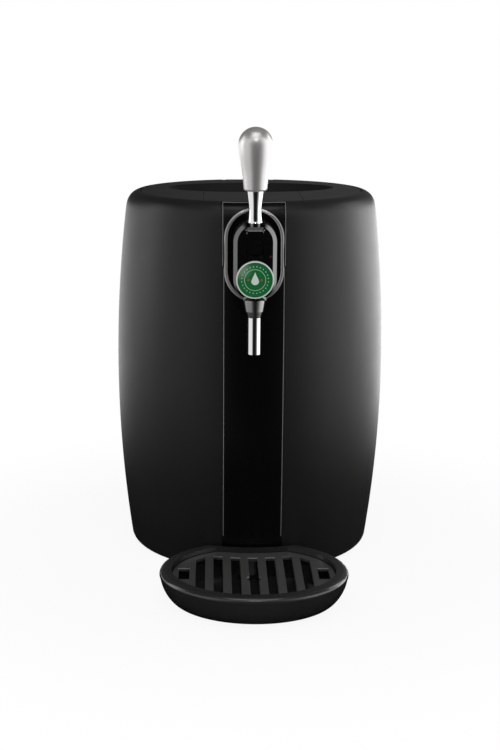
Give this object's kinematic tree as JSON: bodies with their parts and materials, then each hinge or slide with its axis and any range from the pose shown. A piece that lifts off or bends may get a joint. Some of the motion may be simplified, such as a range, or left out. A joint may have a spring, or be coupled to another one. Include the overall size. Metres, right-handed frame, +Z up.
{
  "type": "mini keg beer dispenser",
  "caption": "Countertop cooler and tap for a mini keg: barrel-shaped insulated casing with hinged lid, lever tap with spout and a removable drip tray.",
  "frame": {"origin": "on the worktop, under the middle of the whole machine with its tray", "axes": "+Z up, -Y towards the user, +X to the machine's right as the user sees it"},
  "size_m": [0.2758, 0.454, 0.441],
  "materials": {
    "shell_black": "satin",
    "piano_black": "gloss",
    "lid_grey": "satin",
    "moulded_black": "matt moulded",
    "tray_black": "satin gloss",
    "rubber": "matt",
    "satin_aluminium": "satin",
    "chrome": "polished",
    "steel": "bright zinc",
    "brass_pins": "plated",
    "ceramic_white": "ceramic",
    "board_green": "solder mask",
    "badge_green": "printed under clear resin",
    "lens_clear": "clear"
  },
  "bodies": {
    "casing": {"base_pan": "shell_black", "rubber_feet": "rubber", "base_screws": "steel", "left_side_shell": "shell_black", "right_side_shell": "shell_black", "upper_front_panel": "piano_black", "lower_front_panel": "piano_black", "top_deck": "moulded_black", "rear_housing": "shell_black", "housing_screws": "steel", "rear_grille": "moulded_black", "switch_bezel": "moulded_black", "mains_inlet": "moulded_black", "inlet_pins": "brass_pins", "keg_chamber": "satin_aluminium", "keg_support_pad": "rubber", "insulation_jacket": "moulded_black", "cold_block": "satin_aluminium", "peltier_module": "ceramic_white", "heat_sink": "satin_aluminium", "fan_frame": "moulded_black", "power_supply": "moulded_black", "control_board": "board_green", "hinge_bracket": "steel", "hinge_screws": "steel", "lid_hinge_pin": "steel", "tap_body": "piano_black", "tap_screws": "steel", "nozzle_cone": "piano_black", "nozzle_collar": "piano_black", "spout_tube": "chrome", "handle_pin": "steel", "pinch_spring": "steel"},
    "lid": {"lid_outer": "lid_grey", "lid_liner": "moulded_black", "lid_insulation": "moulded_black", "lid_gasket": "rubber", "paddle_pin": "steel", "latch_pin": "steel", "paddle_spring": "steel"},
    "release_paddle": {"lid_release_paddle": "lid_grey"},
    "latch": {"lid_latch": "moulded_black"},
    "handle": {"handle_grip": "satin_aluminium", "handle_neck": "chrome", "handle_lever": "piano_black"},
    "slider": {"pinch_slider": "moulded_black"},
    "cover": {"tap_cover": "piano_black", "badge_bezel": "chrome", "badge_disc": "badge_green", "indicator_lens": "lens_clear"},
    "tray": {"drip_tray": "tray_black"},
    "grid": {"drip_grid": "tray_black"},
    "fan": {"fan_rotor": "moulded_black"},
    "rocker": {"power_rocker": "moulded_black"}
  },
  "joints": [
    {"name": "lid_hinge", "type": "hinge", "parent": "casing", "child": "lid", "pos_m": [0, 0.16, 0.361], "axis": [-1, 0, 0], "range_deg": [0, 95]},
    {"name": "paddle_press", "type": "hinge", "parent": "lid", "child": "release_paddle", "pos_m": [0, 0.007, 0.3646], "axis": [1, 0, 0], "range_deg": [0, 2], "stiffness_Nm_per_rad": 4, "springref_deg": -1.15, "deforming": ["paddle_spring"]},
    {"name": "latch_turn", "type": "hinge", "parent": "lid", "child": "latch", "pos_m": [0, -0.068, 0.3582], "axis": [-1, 0, 0], "range_deg": [0, 18]},
    {"name": "handle_pull", "type": "hinge", "parent": "casing", "child": "handle", "pos_m": [0, -0.112, 0.344], "axis": [1, 0, 0], "range_deg": [0, 30], "stiffness_Nm_per_rad": 0.4, "springref_deg": -8.59},
    {"name": "pinch_slide", "type": "slide", "parent": "casing", "child": "slider", "axis": [0, 1, 0], "range_m": [0, 0.011], "deforming": ["pinch_spring"]},
    {"name": "cover_unclip", "type": "slide", "parent": "casing", "child": "cover", "axis": [0, -1, 0], "range_m": [0, 0.025]},
    {"name": "tray_slide", "type": "slide", "parent": "casing", "child": "tray", "axis": [0, -1, 0], "range_m": [0, 0.06]},
    {"name": "grid_lift", "type": "slide", "parent": "tray", "child": "grid", "axis": [0, 0, 1], "range_m": [0, 0.03]},
    {"name": "fan_spin", "type": "hinge", "parent": "casing", "child": "fan", "pos_m": [0, 0.204, 0.2], "axis": [0, 1, 0], "continuous": true},
    {"name": "rocker_tip", "type": "hinge", "parent": "casing", "child": "rocker", "pos_m": [0.052, 0.221, 0.062], "axis": [-1, 0, 0], "range_deg": [0, 14]}
  ],
  "couplings": [
    {"joint": "latch_turn", "follows": "paddle_press", "ratio": 9},
    {"joint": "pinch_slide", "follows": "handle_pull", "m_per_rad": 0.02095}
  ]
}
